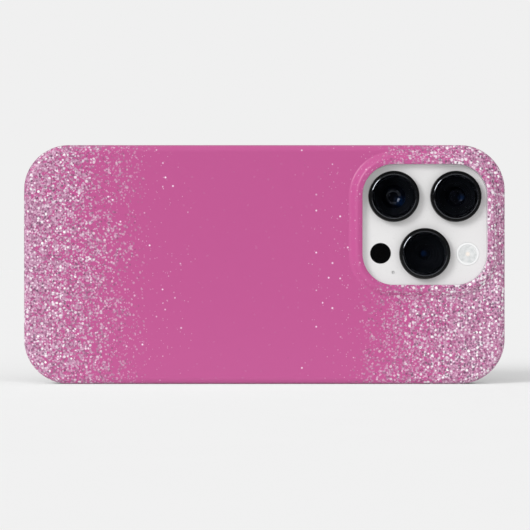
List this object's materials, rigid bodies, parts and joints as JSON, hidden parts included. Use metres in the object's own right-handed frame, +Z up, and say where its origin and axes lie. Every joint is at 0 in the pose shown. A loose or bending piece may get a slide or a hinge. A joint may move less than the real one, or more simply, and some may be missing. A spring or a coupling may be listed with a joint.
{
  "type": "phone case",
  "caption": "Two-piece phone case, hard pink glitter-print shell over a soft liner with its own button caps, shown on a phone whose lenses sit in the raised camera window.",
  "frame": {"origin": "on the surface under the middle of the long edge that the case stands on", "axes": "+X along the phone towards its camera end, -Y out of the printed back, +Y out of the screen, +Z up"},
  "size_m": [0.151, 0.0128, 0.075],
  "materials": {
    "shell_print": "pink print with silver glitter at both ends, clear gloss coat",
    "liner_tpu": "milky soft liner",
    "cap_plastic": "satin pink button caps",
    "frame_steel": "polished steel band",
    "break_plastic": "satin antenna breaks",
    "back_glass": "frosted white back glass",
    "front_glass": "polished cover glass",
    "display": "black display panel, off",
    "alloy": "plain alloy",
    "battery_wrap": "dark wrap",
    "board_green": "coated board",
    "copper": "wound copper",
    "dark_plastic": "black plastic",
    "mesh_metal": "dark woven mesh",
    "port_steel": "bead-blasted steel",
    "button_steel": "polished steel",
    "plateau_glass": "pale satin glass",
    "ring_black": "gloss black",
    "lens_glass": "coated sapphire",
    "element_glass": "blue coated glass",
    "flash_diffuser": "milky diffuser",
    "flash_base": "pale reflector",
    "led_phosphor": "warm phosphor"
  },
  "bodies": {
    "case_shell": {"outer_shell": "shell_print"},
    "liner": {"inner_liner": "liner_tpu"},
    "power_cap": {"power_cap": "cap_plastic"},
    "volume_up_cap": {"volume_up_cap": "cap_plastic"},
    "volume_down_cap": {"volume_down_cap": "cap_plastic"},
    "side_button": {"side_button": "button_steel"},
    "volume_up_button": {"volume_up_button": "button_steel"},
    "volume_down_button": {"volume_down_button": "button_steel"},
    "mute_slider": {"mute_slider": "button_steel"},
    "phone": {"phone_frame": "frame_steel", "antenna_breaks": "break_plastic", "back_glass": "back_glass", "front_glass": "front_glass", "display_panel": "display", "mid_plate": "alloy", "battery": "battery_wrap", "main_board": "board_green", "charging_coil": "copper", "haptic_motor": "alloy", "loudspeaker": "dark_plastic", "speaker_meshes": "mesh_metal", "earpiece_mesh": "mesh_metal", "front_camera_module": "dark_plastic", "port_shell": "port_steel", "port_tongue": "dark_plastic", "end_screws": "port_steel", "camera_plateau": "plateau_glass", "camera_bracket": "alloy", "depth_sensor_window": "ring_black", "flash_lens": "flash_diffuser", "flash_plate": "flash_base", "flash_leds": "led_phosphor", "rear_mic_mesh": "mesh_metal", "lens_ring_1": "ring_black", "lens_cover_1": "lens_glass", "lens_barrel_1": "dark_plastic", "lens_element_1": "element_glass", "lens_ring_2": "ring_black", "lens_cover_2": "lens_glass", "lens_barrel_2": "dark_plastic", "lens_element_2": "element_glass", "lens_ring_3": "ring_black", "lens_cover_3": "lens_glass", "lens_barrel_3": "dark_plastic", "lens_element_3": "element_glass"}
  },
  "joints": [
    {"name": "liner_release", "type": "slide", "parent": "case_shell", "child": "liner", "axis": [0, 1, 0], "range_m": [0, 0.014]},
    {"name": "phone_release", "type": "slide", "parent": "liner", "child": "phone", "axis": [0, 1, 0], "range_m": [0, 0.016], "deforming": ["inner_liner"]},
    {"name": "power_cap_press", "type": "slide", "parent": "liner", "child": "power_cap", "axis": [0, 0, -1], "range_m": [0, 0.0003], "stiffness_N_per_m": 300},
    {"name": "volume_up_cap_press", "type": "slide", "parent": "liner", "child": "volume_up_cap", "axis": [0, 0, 1], "range_m": [0, 0.0003], "stiffness_N_per_m": 300},
    {"name": "volume_down_cap_press", "type": "slide", "parent": "liner", "child": "volume_down_cap", "axis": [0, 0, 1], "range_m": [0, 0.0003], "stiffness_N_per_m": 300},
    {"name": "side_button_press", "type": "slide", "parent": "phone", "child": "side_button", "axis": [0, 0, -1], "range_m": [0, 0.0003], "stiffness_N_per_m": 300},
    {"name": "volume_up_press", "type": "slide", "parent": "phone", "child": "volume_up_button", "axis": [0, 0, 1], "range_m": [0, 0.0003], "stiffness_N_per_m": 300},
    {"name": "volume_down_press", "type": "slide", "parent": "phone", "child": "volume_down_button", "axis": [0, 0, 1], "range_m": [0, 0.0003], "stiffness_N_per_m": 300},
    {"name": "mute_slide", "type": "slide", "parent": "phone", "child": "mute_slider", "axis": [0, -1, 0], "range_m": [0, 0.0012]}
  ],
  "couplings": [
    {"joint": "side_button_press", "follows": "power_cap_press", "ratio": 1},
    {"joint": "volume_up_press", "follows": "volume_up_cap_press", "ratio": 1},
    {"joint": "volume_down_press", "follows": "volume_down_cap_press", "ratio": 1}
  ]
}
